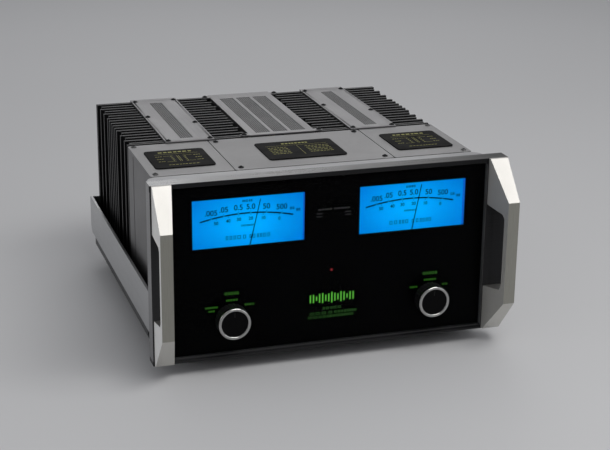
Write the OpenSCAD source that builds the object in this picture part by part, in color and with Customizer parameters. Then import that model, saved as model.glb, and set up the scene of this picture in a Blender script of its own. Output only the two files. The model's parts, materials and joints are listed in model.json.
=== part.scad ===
// Stereo power amplifier. A glass front with two backlit meters and two rotary knobs sits in a
// metal frame with cast handles. Behind it stand three transformer covers, two pairs of finned
// heatsinks with vented cover strips, and a rear panel with the connectors.
// Millimetres. +Z up, +Y to the rear, +X to the right seen from the front.
// Origin: middle of the footprint, on the ground.

/* [Front panel] */
// Width of the front frame
panel_w = 444.5; // [440:0.5:456]
// Height of the front frame
panel_h = 222.5; // [220:0.5:228]
// Depth of the front frame, front to back
frame_d = 20; // [16:1:24]
// Thickness of the front glass
glass_t = 4; // [3:0.5:5]
// Distance the handles stand in front of the frame
handle_reach = 43; // [38:1:43]

/* [Meters] */
// Distance of each meter from the middle of the panel
meter_x = 102.8; // [100:0.2:105]
// Width of the meter window
meter_w = 137.2; // [124:0.2:138]
// Height of the meter window
meter_h = 60.3; // [52:0.1:62]
// Length of the needle from its pivot to its tip
needle_len = 71; // [60:0.5:72]
// Resting angle of the left needle, clockwise from upright
needle_rest_left = 13; // [-40:1:45]
// Resting angle of the right needle, clockwise from upright
needle_rest_right = 11; // [-40:1:45]

/* [Controls] */
// Distance of each knob from the middle of the panel
knob_x = 126.5; // [120:0.5:150]
// Height of the knob centres above the ground
knob_z = 66.3; // [60:0.5:75]
// Diameter of the knobs
knob_d = 40; // [34:0.5:44]
// Number of grip grooves around each knob
knob_grooves = 24; // [12:1:32]

/* [Heatsinks] */
// Number of fins on each heatsink
fin_count = 17; // [13:1:21]
// Thickness of a fin
fin_t = 4.4; // [2.5:0.1:5]
// How much shorter every second fin is, outside the band of full fins in the middle
fin_step = 4; // [0:0.5:8]

/* [Covers] */
// Distance of the seam in the outer wall of each side cover from its back
cover_seam = 32; // [20:1:60]
// Sheet thickness of the transformer covers
cover_t = 1.6; // [1.2:0.1:2.4]

/* [Rear panel] */
// Spacing of the speaker posts
post_pitch = 34; // [26:1:36]
// Length of a speaker post cap
cap_len = 26; // [20:0.5:26]

/* [Hidden] */
$fn = 40;

eps = 0.01;          // overshoot of cutting shapes
slip = 0.05;         // radial clearance of a running fit
slack = 0.1;         // radial clearance round fixed screws and shafts

// heights
panel_z = 17.5;      // lower edge of the front frame
top_z = panel_z + panel_h;
deck_z = 229;        // top of the covers and heatsinks
floor_z = 25;        // underside of the tray, top of the feet
sheet = 2;           // tray and shroud sheet
base_z = floor_z + sheet;

// depths
depth = 513;         // handle face to the end of the speaker post caps
front_y = -depth / 2 + 43;
handle_y = front_y - handle_reach;
frame_y = front_y + frame_d;
glass_y = front_y + 3;
sub_y = glass_y + glass_t;
sub_t = 3;
ledge_y = sub_y + sub_t;
shroud_y = -145.5;   // back wall of the shroud
cover_y0 = -143.5;
cover_y1 = -6.5;
sink_y0 = -1.5;
sink_y1 = 213.5;
rear_t = 3;
rear_y = sink_y1 + rear_t;

// widths
half_w = panel_w / 2;
open_x = half_w - 26.25;
open_z0 = panel_z + 5.7;
open_z1 = top_z - 6.7;
ledge = 6;
shroud_x = half_w - 9.25;
cover_x = 205.5;
seam_x = 102;
seam_gap = 1.1;
rear_x = 205;
rail_x0 = half_w - 8.25;
rail_x1 = half_w - 4.25;
rail_z0 = 44;
rail_z1 = 96;
rail_block_z1 = 58;  // top of the blocks that join a rail to the tray
strip_x0 = 92.5;
strip_x1 = 156.5;
web_t = 6;           // heatsink webs, just under the edges of the strips

// meters
pivot_z = 139.5;
window_z0 = 154.9;
house_y = -176;
house_z0 = 118;
house_z1 = 219;
house_t = 2.5;
house_half = meter_w / 2 + 3;
dial_y = -196;
dial_t = 1;

// fixings
screw_r = 2;
head_r = 3.7;
head_h = 2;
boss_r = 4.7;
outer_boss_x = 152;
inner_boss_x = 97.2;
// screw columns under each strip: the middle one stands further back on the strip's left edge
left_boss_y = [-1.5, 121.5, 206.5];
right_boss_y = [-1.5, 79.5, 206.5];
plate_t = 2;
plate_z = deck_z + plate_t;

// rear connectors
post_z = 96;
post_x0 = 62;
post_r = 4;
cap_r = 9.5;
cap_y1 = depth / 2;
cap_y0 = cap_y1 - cap_len;

silver = "#b9bbbd";
satin = "#d6d6d2";
black = "#141517";
dark = "#3b3d40";
grey = "#8c8f92";
white = "#e8e8e8";

// Block between two corners
module block(x0, x1, y0, y1, z0, z1)
    translate([min(x0, x1), y0, z0]) cube([abs(x1 - x0), y1 - y0, z1 - z0]);

// Cylinders along each axis
module rod_x(x0, x1, y, z, r)
    translate([x0, y, z]) rotate([0, 90, 0]) cylinder(r = r, h = x1 - x0);
module rod_y(x, y0, y1, z, r)
    translate([x, y1, z]) rotate([90, 0, 0]) cylinder(r = r, h = y1 - y0);
module rod_z(x, y, z0, z1, r)
    translate([x, y, z0]) cylinder(r = r, h = z1 - z0);

// Profile drawn in Y and Z, run along X
module run_x(x0, x1)
    translate([x0, 0, 0]) rotate([90, 0, 90]) linear_extrude(x1 - x0) children();

// Rectangle with round corners
module rounded(x0, x1, y0, y1, r) {
    translate([x0 + r, y0]) square([x1 - x0 - 2 * r, y1 - y0]);
    translate([x0, y0 + r]) square([x1 - x0, y1 - y0 - 2 * r]);
    for (x = [x0 + r, x1 - r], y = [y0 + r, y1 - r]) translate([x, y]) circle(r);
}

// Button head screw, head upwards, standing on height z
module button_screw(x, y, z, len = 8) {
    translate([x, y, z]) difference() {
        union() {
            intersection() {
                translate([0, 0, head_h - 4.8]) sphere(r = 4.8);
                cylinder(r = head_r, h = head_h);
            }
            translate([0, 0, -len]) cylinder(r = screw_r, h = len + eps);
        }
        translate([0, 0, head_h - 1.3]) cylinder(r = 1.2, h = 2);
    }
}

// ---- chassis ----

foot_x = 168;
foot_y = [-156, 176];
foot_r = 21;
foot_screw_r = 2.4;

module chassis_tray() color(dark) difference() {
    union() {
        block(-shroud_x, shroud_x, frame_y, sink_y1, floor_z, base_z);
        for (s = [-1, 1])
            block(s * (shroud_x - 2), s * shroud_x, cover_y0 + 3, sink_y1, floor_z,
                rail_block_z1 + 2);
    }
    for (x = [-foot_x, foot_x], y = foot_y)
        rod_z(x, y, floor_z - 1, base_z + 1, foot_screw_r + slack);
    for (s = [-1, 1], x = [52, 168], k = [0 : 6])
        block(s * x, s * (x + 30), 14 + k * 20, 24 + k * 20, floor_z - 1, base_z + 1);
}

module feet() color(black) for (x = [-foot_x, foot_x], y = foot_y)
    translate([x, y, 0]) difference() {
        union() {
            cylinder(r1 = foot_r - 2, r2 = foot_r, h = 6);
            translate([0, 0, 6]) cylinder(r = foot_r, h = floor_z - 6);
        }
        translate([0, 0, -1]) cylinder(r = 6.5, h = 13);
        translate([0, 0, 1]) cylinder(r = foot_screw_r + slack, h = floor_z);
    }

module foot_screws() color(silver) for (x = [-foot_x, foot_x], y = foot_y)
    translate([x, y, 12]) difference() {
        union() {
            translate([0, 0, -3]) cylinder(r = 5.5, h = 3);
            cylinder(r = foot_screw_r, h = base_z - 12 + 4);
        }
        translate([0, 0, -4]) cylinder(r = 1.8, h = 3);
    }

rail_block_y = [-125, 35, 180];

module side_rail() difference() {
    union() {
        block(rail_x0, rail_x1, frame_y + 9, rear_y, rail_z0, rail_z1);
        block(rear_x, rail_x0 + eps, sink_y1 + 1, rear_y, rail_z0 + 10, rail_z1);
        for (y = rail_block_y)
            block(shroud_x, rail_x0 + eps, y, y + 22, rail_z0 + 2, rail_block_z1);
    }
    // the lower rear corner is cut off
    run_x(rail_x0 - 1, rail_x1 + 1)
        polygon([[rear_y + 1, rail_z0 - 1], [rear_y + 1, rail_z0 + 9],
            [rear_y - 9, rail_z0 - 1]]);
}
module side_rail_left() color(satin) mirror([1, 0, 0]) side_rail();
module side_rail_right() color(satin) side_rail();

module front_shroud() color(silver) difference() {
    translate([0, 0, base_z]) linear_extrude(deck_z - base_z) {
        rounded(-shroud_x, shroud_x, frame_y, shroud_y, 14);
        translate([-shroud_x, frame_y]) square([2 * shroud_x, 16]);
    }
    translate([0, 0, base_z - 1]) linear_extrude(deck_z - base_z + 1 - sheet) {
        rounded(-shroud_x + sheet, shroud_x - sheet, frame_y + 1, shroud_y - sheet, 12);
        translate([-shroud_x + sheet, frame_y - 1]) square([2 * (shroud_x - sheet), 18]);
    }
    for (x = [-150, 0, 150]) rod_y(x, shroud_y - 4, shroud_y + 1, 60, 9);
}

module rear_panel() color(grey) difference() {
    block(-rear_x, rear_x, sink_y1, rear_y, floor_z, deck_z);
    for (s = [-1, 1]) {
        for (k = [0 : 2])
            rod_y(s * (post_x0 + k * post_pitch), sink_y1 - 1, rear_y + 1, post_z, 6 + slack);
        rod_y(s * xlr_x, sink_y1 - 1, rear_y + 1, xlr_z, 11 + slack);
        rod_y(s * rca_x, sink_y1 - 1, rear_y + 1, xlr_z, 5 + slack);
        for (k = [0 : 8])
            block(s * 60, s * 150, sink_y1 - 1, rear_y + 1, 130 + k * 7, 133 + k * 7);
    }
    block(-inlet_w / 2, inlet_w / 2, sink_y1 - 1, rear_y + 1, 44, 44 + inlet_h);
    block(-5, 5, sink_y1 - 1, rear_y + 1, xlr_z - 2.6, xlr_z + 2.6);
}

// ---- front ----

handle_bolt_x = half_w - 13;
handle_bolt_z = [48, 208];
bolt_r = 3;

module front_frame() color(silver) difference() {
    union() {
        for (s = [-1, 1]) {
            block(s * open_x, s * half_w, front_y, frame_y, panel_z, top_z);
            block(s * (open_x - ledge), s * open_x, ledge_y, frame_y, panel_z, top_z);
        }
        run_x(-open_x, open_x) polygon([[front_y, top_z], [frame_y, top_z],
            [frame_y, open_z1 - ledge], [ledge_y, open_z1 - ledge], [ledge_y, open_z1],
            [glass_y, open_z1]]);
        run_x(-open_x, open_x) polygon([[front_y, panel_z], [frame_y, panel_z],
            [frame_y, open_z0 + ledge], [ledge_y, open_z0 + ledge], [ledge_y, open_z0],
            [glass_y, open_z0], [glass_y, panel_z + 3], [front_y, panel_z + 3]]);
    }
    for (s = [-1, 1], z = handle_bolt_z) {
        rod_y(s * handle_bolt_x, front_y - 1, frame_y + 1, z, bolt_r + slack);
        rod_y(s * handle_bolt_x, frame_y - 6, frame_y + 1, z, 5 + slack);
    }
}

module sub_panel() color(black) difference() {
    block(-open_x, open_x, sub_y, ledge_y, open_z0, open_z1);
    for (s = [-1, 1]) {
        block(s * (meter_x - meter_w / 2), s * (meter_x + meter_w / 2), sub_y - 1, ledge_y + 1,
            window_z0, window_z0 + meter_h);
        rod_y(s * knob_x, sub_y - 1, ledge_y + 1, knob_z, 5 + slack);
    }
    rod_y(0, sub_y - 1, ledge_y + 1, led_z, 1.5 + slack);
}

module front_glass() color("#20262b") difference() {
    block(-open_x, open_x, glass_y, sub_y, open_z0, open_z1);
    for (s = [-1, 1]) rod_y(s * knob_x, glass_y - 1, sub_y + 1, knob_z, 5 + slack);
}

// Handle: side outline with its window, thinned towards the grip
module handle() difference() {
    intersection() {
        run_x(0, half_w) difference() {
            polygon([[front_y, panel_z + 1], [front_y, top_z], [front_y - 3.5, top_z],
                [handle_y, top_z - 45], [handle_y, panel_z + 48],
                [front_y - 3.5, panel_z + 1]]);
            polygon([[front_y + 1, 75], [front_y + 1, 182], [handle_y + 11, 177.5],
                [handle_y + 7, 173], [handle_y + 7, 86], [handle_y + 11, 80.5]]);
        }
        linear_extrude(top_z + 1) polygon([[half_w - 2, front_y + 1], [half_w - 25, front_y + 1],
            [half_w - 25, front_y - 2], [half_w - 16.2, handle_y - 1],
            [half_w - 2, handle_y - 1]]);
    }
    for (z = handle_bolt_z)
        rod_y(handle_bolt_x, front_y - 14, front_y + 1, z, bolt_r + slack);
}
module handle_left() color(satin) mirror([1, 0, 0]) handle();
module handle_right() color(satin) handle();

module handle_bolts() color(dark) for (s = [-1, 1], z = handle_bolt_z) difference() {
    union() {
        rod_y(s * handle_bolt_x, front_y - 13, frame_y - 6, z, bolt_r);
        rod_y(s * handle_bolt_x, frame_y - 6, frame_y - 1, z, 5);
    }
    rod_y(s * handle_bolt_x, frame_y - 4, frame_y, z, 2.4);
}

// ---- meters ----

module meter_housing(mx) difference() {
    block(mx - house_half, mx + house_half, ledge_y, house_y, house_z0, house_z1);
    block(mx - house_half + house_t, mx + house_half - house_t, ledge_y - 1,
        house_y - house_t, house_z0 + house_t, house_z1 - house_t);
    rod_y(mx + 40, house_y - 4, house_y + 1, 140, 4);
}
module meter_housing_left() color(white) meter_housing(-meter_x);
module meter_housing_right() color(white) meter_housing(meter_x);

module meter_dial(mx) difference() {
    block(mx - house_half + house_t, mx + house_half - house_t, dial_y, dial_y + dial_t,
        house_z0 + house_t, house_z1 - house_t);
    rod_y(mx, dial_y - 1, dial_y + dial_t + 1, pivot_z, 3);
}
module meter_dial_left() color("#4aa8e8") meter_dial(-meter_x);
module meter_dial_right() color("#4aa8e8") meter_dial(meter_x);

shaft_r = 1;
shaft_y1 = -186;

module meter_movements() color(grey) for (s = [-1, 1]) difference() {
    union() {
        rod_y(s * meter_x, dial_y + dial_t, house_y - house_t, pivot_z, 17);
        block(s * meter_x - 26, s * meter_x + 26, -188, house_y - house_t, pivot_z - 9,
            pivot_z + 9);
    }
    rod_y(s * meter_x, dial_y, shaft_y1 + 0.1, pivot_z, shaft_r + slip);
}

module meter_backlights() color("#e9efe9") for (s = [-1, 1]) {
    block(s * meter_x - 66, s * meter_x + 66, house_y - house_t - 1.6, house_y - house_t,
        163, 214);
    for (k = [-2.5 : 1 : 2.5], z = [174, 200])
        block(s * meter_x + k * 21 - 3, s * meter_x + k * 21 + 3, house_y - house_t - 3.6,
            house_y - house_t - 1.6 + eps, z, z + 4);
}

module needle(mx, rest) translate([mx, 0, pivot_z]) rotate([0, rest, 0]) {
    rod_y(0, -199.5, shaft_y1, 0, shaft_r);
    rod_y(0, -199.5, dial_y - 0.8, 0, 4);
    translate([0, dial_y - 1.8, 0]) rotate([90, 0, 0]) linear_extrude(0.8)
        polygon([[-0.5, 0], [-0.35, needle_len], [0.35, needle_len], [0.5, 0], [2, -11],
            [-2, -11]]);
}
module meter_needle_left() color(black) needle(-meter_x, needle_rest_left);
module meter_needle_right() color(black) needle(meter_x, needle_rest_right);

// ---- controls ----

spindle_r = 3;
switch_y = -186;
knob_y = glass_y - 1;
ring_y = front_y - 11.5;
ring_t = 4.5;
ring_w = 4;
face_drop = 1.8;     // the face lies this far inside the ring
led_z = 114.1;

module rotary_switches() color(grey) for (s = [-1, 1]) difference() {
    union() {
        rod_y(s * knob_x, glass_y, ledge_y + eps, knob_z, 5);
        rod_y(s * knob_x, ledge_y, switch_y, knob_z, 14);
        for (a = [60 : 60 : 300]) rod_y(s * knob_x + 10 * sin(a), switch_y - eps,
            switch_y + 4, knob_z + 10 * cos(a), 1);
    }
    rod_y(s * knob_x, glass_y - 1, switch_y - 3, knob_z, spindle_r + slip);
}

module knob(x) translate([x, 0, knob_z]) {
    difference() {
        union() {
            rod_y(0, ring_y, knob_y, 0, knob_d / 2);
            rod_y(0, ring_y - ring_t + face_drop, ring_y + eps, 0, knob_d / 2 - ring_w - 0.05);
        }
        for (k = [0 : knob_grooves - 1]) rotate([0, k * 360 / knob_grooves, 0])
            rod_y(0, ring_y - eps, knob_y + 1, knob_d / 2 + 0.4, 1.2);
        // pointer line sunk into the face
        block(-0.7, 0.7, ring_y - ring_t, ring_y - ring_t + face_drop + 0.5,
            knob_d / 2 - ring_w - 8, knob_d / 2 - ring_w - 1);
    }
    rod_y(0, knob_y - eps, switch_y - 4, 0, spindle_r);
}
module knob_ring(x) translate([x, ring_y, knob_z]) rotate([90, 0, 0]) rotate_extrude()
    polygon([[knob_d / 2 - ring_w, 0], [knob_d / 2, 0], [knob_d / 2, ring_t - 1.2],
        [knob_d / 2 - 1.2, ring_t], [knob_d / 2 - ring_w + 1, ring_t],
        [knob_d / 2 - ring_w, ring_t - 1]]);

module meter_knob() color(black) knob(-knob_x);
module meter_knob_ring() color(silver) knob_ring(-knob_x);
module power_knob() color(black) knob(knob_x);
module power_knob_ring() color(silver) knob_ring(knob_x);

module standby_led() color("#d01818") {
    rod_y(0, sub_y + 0.4, ledge_y + eps, led_z, 1.5);
    rod_y(0, ledge_y, ledge_y + 1.6, led_z, 2.2);
}

module display_board() color("#1f5a36") {
    block(-28, 28, ledge_y + 1.6, ledge_y + 3.2, 40, 124);
    for (x = [-24, 24], z = [44, 120]) rod_y(x, ledge_y, ledge_y + 1.6 + eps, z, 2.5);
    for (x = [-18 : 12 : 18]) block(x - 3, x + 3, ledge_y + 3.2 - eps, ledge_y + 6, 60, 76);
}

// ---- covers ----

side_cover_screws = [[198, -134.5], [199, -12.5]];
mid_cover_screws = [[92.5, -133.5], [93.5, -15.5]];

module cover(x0, x1) difference() {
    translate([0, 0, base_z]) linear_extrude(deck_z - base_z)
        rounded(x0, x1, cover_y0, cover_y1, 3);
    block(x0 + cover_t, x1 - cover_t, cover_y0 + cover_t, cover_y1 - cover_t, base_z - 1,
        deck_z - cover_t);
    rod_y((x0 + x1) / 2, cover_y0 - 1, cover_y1 + 1, 60, 9);
}

module side_cover() difference() {
    cover(seam_x + seam_gap / 2, cover_x);
    block(cover_x - 0.8, cover_x + 1, cover_y1 - cover_seam - 2.5, cover_y1 - cover_seam,
        base_z - 1, deck_z - 4);
    for (p = side_cover_screws) rod_z(p[0], p[1], deck_z - 4, deck_z + 1, screw_r + slack);
}
module autoformer_cover_left() color(grey) mirror([1, 0, 0]) side_cover();
module autoformer_cover_right() color(grey) side_cover();

module transformer_cover() color(grey) difference() {
    cover(-seam_x + seam_gap / 2, seam_x - seam_gap / 2);
    for (s = [-1, 1], p = mid_cover_screws)
        rod_z(s * p[0], p[1], deck_z - 4, deck_z + 1, screw_r + slack);
}

module nameplate(x0, x1) translate([0, 0, deck_z]) linear_extrude(1.2)
    rounded(x0, x1, front_y + 98, front_y + 173, 5);
module nameplate_left() color(black) nameplate(-193, -118);
module nameplate_center() color(black) nameplate(-50.5, 50.5);
module nameplate_right() color(black) nameplate(118, 193);

// ---- heatsinks and vents ----

fin_z = 36;
fin_y = sink_y0 + 8.6;       // middle of the first fin
fin_pitch = (sink_y1 - fin_t / 2 - fin_y) / (fin_count - 1);
fin_mid = floor(fin_count / 2);

// Short and long fins alternate in front of and behind a band of full ones.
function fin_cut(k) = k < fin_mid - 3 ? (1 - k % 2) * fin_step
    : k > fin_mid + 2 ? (k % 2) * fin_step : 0;

module fins(x_root, x_tip) for (k = [0 : fin_count - 1])
    block(x_root, x_tip - sign(x_tip - x_root) * fin_cut(k),
        fin_y + k * fin_pitch - fin_t / 2, fin_y + k * fin_pitch + fin_t / 2, fin_z, deck_z);

port_y = 200;        // front of the space for the connectors
port_z = 185;

// Web with screw columns on one side and fins on the other. The inner ones are cut back below
// for the connectors.
module heatsink(x0, x1, x_tip, boss_x, boss_y, ports = false) difference() {
    union() {
        block(x0, x1, sink_y0, sink_y1, base_z, deck_z);
        block(min(x0, x_tip), max(x1, x_tip), sink_y0, sink_y0 + 4, fin_z, deck_z);
        fins(x_tip > x1 ? x1 - 1 : x0 + 1, x_tip);
        for (y = boss_y) {
            rod_z(boss_x, y, base_z, deck_z, boss_r);
            block(min(boss_x, x0), max(boss_x, x1), y - 2, y + 2, base_z, deck_z);
        }
    }
    for (y = boss_y) rod_z(boss_x, y, deck_z - 10, deck_z + 1, screw_r + slack);
    if (ports) block(min(x0, x_tip) - 5, max(x1, x_tip) + 5, port_y, sink_y1 + 1, base_z - 1,
        port_z);
}
module outer_heatsink(boss_y)
    heatsink(strip_x1 - web_t, strip_x1, 204.6, outer_boss_x, boss_y);
module inner_heatsink(boss_y) difference() {
    union() {
        heatsink(strip_x0, strip_x0 + web_t, 47, inner_boss_x, boss_y, true);
        // corner columns for the screws of the vent plate
        rod_z(plate_screw_x, plate_screw_y[0], base_z, deck_z, boss_r);
        rod_z(plate_screw_x, plate_screw_y[1], port_z, deck_z, boss_r);
    }
    for (y = plate_screw_y) rod_z(plate_screw_x, y, deck_z - 8, deck_z + 1, screw_r + slack);
}
module heatsink_outer_left() color(black) mirror([1, 0, 0]) outer_heatsink(left_boss_y);
module heatsink_inner_left() color(black) mirror([1, 0, 0]) inner_heatsink(right_boss_y);
module heatsink_inner_right() color(black) inner_heatsink(left_boss_y);
module heatsink_outer_right() color(black) outer_heatsink(right_boss_y);

slot_y0 = 7;
slot_y1 = 194.5;
strip_slot = [117.2, 134];
plate_x = 44.5;      // half the width of the vent plate
plate_slots = [-24, 0, 24];
plate_slot_w = 19.5;
grille_lip = 2;
grille_t = 0.8;

module vent_strip(s, outer_y, inner_y) difference() {
    block(s * strip_x0, s * strip_x1, sink_y0 - 4.5, rear_y + 2, deck_z, plate_z);
    block(s * strip_slot[0], s * strip_slot[1], slot_y0, slot_y1, deck_z - 1, plate_z + 1);
    for (y = outer_y) rod_z(s * outer_boss_x, y, deck_z - 1, plate_z + 1, screw_r + slack);
    for (y = inner_y) rod_z(s * inner_boss_x, y, deck_z - 1, plate_z + 1, screw_r + slack);
}
module vent_strip_left() color(silver) vent_strip(-1, left_boss_y, right_boss_y);
module vent_strip_right() color(silver) vent_strip(1, right_boss_y, left_boss_y);

plate_screw_x = 51;
plate_screw_y = [2.2, 208.8];

module vent_plate() color(silver) difference() {
    union() {
        block(-plate_x, plate_x, sink_y0 - 2, rear_y + 2, deck_z, plate_z);
        // folded sides that carry the plate
        for (s = [-1, 1]) block(s * (plate_x - 2), s * plate_x, sink_y0, sink_y1, 190,
            plate_z - eps);
        // ears for the screws
        for (s = [-1, 1], y = plate_screw_y) {
            block(s * (plate_x - 1), s * plate_screw_x, y - 4.5, y + 4.5, deck_z, plate_z);
            rod_z(s * plate_screw_x, y, deck_z, plate_z, 4.5);
        }
    }
    for (x = plate_slots) block(x - plate_slot_w / 2, x + plate_slot_w / 2, slot_y0 - 1,
        slot_y1 - 1, deck_z - 1, plate_z + 1);
    for (s = [-1, 1], y = plate_screw_y)
        rod_z(s * plate_screw_x, y, deck_z - 1, plate_z + 1, screw_r + slack);
}

module vent_grilles() color(dark) {
    for (s = [-1, 1]) block(s * (strip_slot[0] - grille_lip), s * (strip_slot[1] + grille_lip),
        slot_y0 - grille_lip, slot_y1 + grille_lip, deck_z - grille_t, deck_z);
    for (x = plate_slots) block(x - plate_slot_w / 2 - grille_lip,
        x + plate_slot_w / 2 + grille_lip, slot_y0 - 1 - grille_lip,
        slot_y1 - 1 + grille_lip, deck_z - grille_t, deck_z);
}

module case_screws() color(black) {
    for (y = left_boss_y, x = [-outer_boss_x, inner_boss_x]) button_screw(x, y, plate_z);
    for (y = right_boss_y, x = [-inner_boss_x, outer_boss_x]) button_screw(x, y, plate_z);
    for (s = [-1, 1]) {
        for (y = plate_screw_y) button_screw(s * plate_screw_x, y, plate_z, 7);
        for (p = side_cover_screws) button_screw(s * p[0], p[1], deck_z, 6);
        for (p = mid_cover_screws) button_screw(s * p[0], p[1], deck_z, 6);
    }
}

// ---- inside ----

module power_transformer() color("#5a4a36") {
    translate([0, -75, base_z]) {
        cylinder(r = 62, h = 6);
        translate([0, 0, 6 - eps]) difference() {
            cylinder(r = 58, h = 120);
            translate([0, 0, 110]) cylinder(r = 16, h = 20);
        }
        translate([0, 0, 115]) cylinder(r = 8, h = 20);
    }
}

module output_autoformers() color("#6b5b46") for (s = [-1, 1]) {
    block(s * 154 - 40, s * 154 + 40, -100, -50, base_z, 125);
    block(s * 154 - 26, s * 154 + 26, -122, -28, base_z + 14, 111);
}

cap_rows = [38, 82, 126, 170];

module filter_capacitors() color("#223b66") for (x = [-21, 21], y = cap_rows) {
    rod_z(x, y, 36.6, 150, 19);
    rod_z(x, y, 150 - eps, 151.5, 17);
}

module power_supply_board() color("#1f5a36") {
    block(-42, 42, 12, 196, 35, 36.6);
    for (x = [-38, 38], y = [16, 104, 192]) rod_z(x, y, base_z, 35 + eps, 3);
}

board_x = 124.5;
board_t = 1.6;
web_outer = strip_x1 - web_t;  // inner faces of the webs
web_inner = strip_x0 + web_t;
device_t = 4.8;

module amplifier_boards() color("#1f5a36") for (s = [-1, 1]) {
    block(s * (board_x - board_t / 2), s * (board_x + board_t / 2), 12, 198, 60, 205);
    for (y = [32, 182], z = [72, 193])
        rod_x(s > 0 ? board_x : -web_outer, s > 0 ? web_outer : -board_x, y, z, 3);
    for (y = [44 : 26 : 174])
        block(s * (board_x - 9), s * (board_x - board_t / 2 + eps), y - 7, y + 7, 90, 112);
}

// the devices stand clear of the screw columns
device_y = [20, 42, 64, 100, 146, 168, 190];

module output_transistors() color(black) for (s = [-1, 1], y = device_y) {
    block(s * (web_outer - device_t), s * web_outer, y - 8, y + 8, 118, 140);
    block(s * web_inner, s * (web_inner + device_t), y - 8, y + 8, 118, 140);
    for (d = [-5, 0, 5], x = [web_outer - 3, web_inner + 2])
        block(s * x, s * (x + 0.8), y + d - 0.6, y + d + 0.6, 106, 118 + eps);
}

// ---- rear connectors ----

xlr_x = 22;
xlr_z = 168;
rca_x = 48;
inlet_w = 52;
inlet_h = 30;
collar_y = cap_y0;
stud_y = cap_y1 - 6;

module speaker_posts() color("#b8913c") for (s = [-1, 1], k = [0 : 2]) difference() {
    union() {
        rod_y(s * (post_x0 + k * post_pitch), sink_y1 - 6, rear_y + eps, post_z, 6);
        rod_y(s * (post_x0 + k * post_pitch), rear_y, collar_y, post_z, cap_r);
        rod_y(s * (post_x0 + k * post_pitch), collar_y - eps, stud_y, post_z, post_r);
    }
    rod_z(s * (post_x0 + k * post_pitch), rear_y + 8, post_z - 12, post_z + 12, 2.2);
}

module post_cap(x) difference() {
    rod_y(x, cap_y0, cap_y1, post_z, cap_r);
    rod_y(x, cap_y0 - 1, stud_y + 0.5, post_z, post_r + slip);
    for (a = [0 : 45 : 315]) rod_y(x + (cap_r + 0.4) * sin(a), cap_y0 + 3, cap_y1 + 1,
        post_z + (cap_r + 0.4) * cos(a), 1.6);
}
module post_cap_left_1() color(white) post_cap(-post_x0);
module post_cap_left_2() color("#b02020") post_cap(-post_x0 - post_pitch);
module post_cap_left_3() color("#b02020") post_cap(-post_x0 - 2 * post_pitch);
module post_cap_right_1() color(white) post_cap(post_x0);
module post_cap_right_2() color("#b02020") post_cap(post_x0 + post_pitch);
module post_cap_right_3() color("#b02020") post_cap(post_x0 + 2 * post_pitch);

module balanced_inputs() color(dark) for (s = [-1, 1]) {
    difference() {
        union() {
            block(s * xlr_x - 12, s * xlr_x + 12, rear_y, rear_y + 2, xlr_z - 15, xlr_z + 15);
            rod_y(s * xlr_x, sink_y1 - 12, rear_y + eps, xlr_z, 11);
            for (d = [[-9, 12], [9, -12]])
                rod_y(s * xlr_x + d[0], rear_y, rear_y + 3, xlr_z + d[1], 2);
        }
        // groove for the plug's shell round an insert with three contact holes
        difference() {
            rod_y(s * xlr_x, rear_y - 9, rear_y + 3, xlr_z, 9.2);
            rod_y(s * xlr_x, rear_y - 10, rear_y + 4, xlr_z, 7.6);
        }
        for (a = [30 : 120 : 270]) rod_y(s * xlr_x + 4.5 * sin(a), rear_y - 9, rear_y + 3,
            xlr_z + 4.5 * cos(a), 1.3);
    }
}

module rca_inputs() color("#c9a24a") for (s = [-1, 1]) difference() {
    union() {
        rod_y(s * rca_x, sink_y1 - 8, rear_y + eps, xlr_z, 5);
        rod_y(s * rca_x, rear_y, rear_y + 3, xlr_z, 6.5);
        rod_y(s * rca_x, rear_y, rear_y + 12, xlr_z, 4.1);
    }
    rod_y(s * rca_x, rear_y, rear_y + 13, xlr_z, 1.8);
}

module power_inlet() color(black) {
    difference() {
        union() {
            block(-inlet_w / 2, inlet_w / 2, sink_y1 - 18, rear_y + eps, 44, 44 + inlet_h);
            block(-inlet_w / 2 - 5, inlet_w / 2 + 5, rear_y, rear_y + 3, 41, 47 + inlet_h);
        }
        block(-14, 14, rear_y - 14, rear_y + 4, 48, 70);
    }
    for (x = [-8, 0, 8]) block(x - 1, x + 1, rear_y - 14 - eps, rear_y - 2, 55, 63);
}

module input_selector() color(silver) {
    block(-7, 2.8, sink_y1 - 2.1, sink_y1 - 0.1, xlr_z - 5, xlr_z + 5);
    block(-4.8, 0.6, sink_y1 - 0.1 - eps, rear_y + 5, xlr_z - 2.5, xlr_z + 2.5);
}

chassis_tray();
side_rail_left();
side_rail_right();
front_shroud();
rear_panel();
feet();
foot_screws();
front_frame();
sub_panel();
front_glass();
handle_left();
handle_right();
handle_bolts();
meter_housing_left();
meter_housing_right();
meter_dial_left();
meter_dial_right();
meter_movements();
meter_backlights();
rotary_switches();
standby_led();
display_board();
autoformer_cover_left();
autoformer_cover_right();
transformer_cover();
nameplate_left();
nameplate_center();
nameplate_right();
heatsink_outer_left();
heatsink_inner_left();
heatsink_inner_right();
heatsink_outer_right();
vent_strip_left();
vent_strip_right();
vent_plate();
vent_grilles();
case_screws();
power_transformer();
output_autoformers();
filter_capacitors();
power_supply_board();
amplifier_boards();
output_transistors();
speaker_posts();
balanced_inputs();
rca_inputs();
power_inlet();
input_selector();
meter_knob();
meter_knob_ring();
power_knob();
power_knob_ring();
meter_needle_left();
meter_needle_right();
post_cap_left_1();
post_cap_left_2();
post_cap_left_3();
post_cap_right_1();
post_cap_right_2();
post_cap_right_3();
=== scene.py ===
"""Looks of the power amplifier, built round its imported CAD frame."""

import json
import math
import random

import bmesh
import bpy
from mathutils import Matrix, Vector


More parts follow.
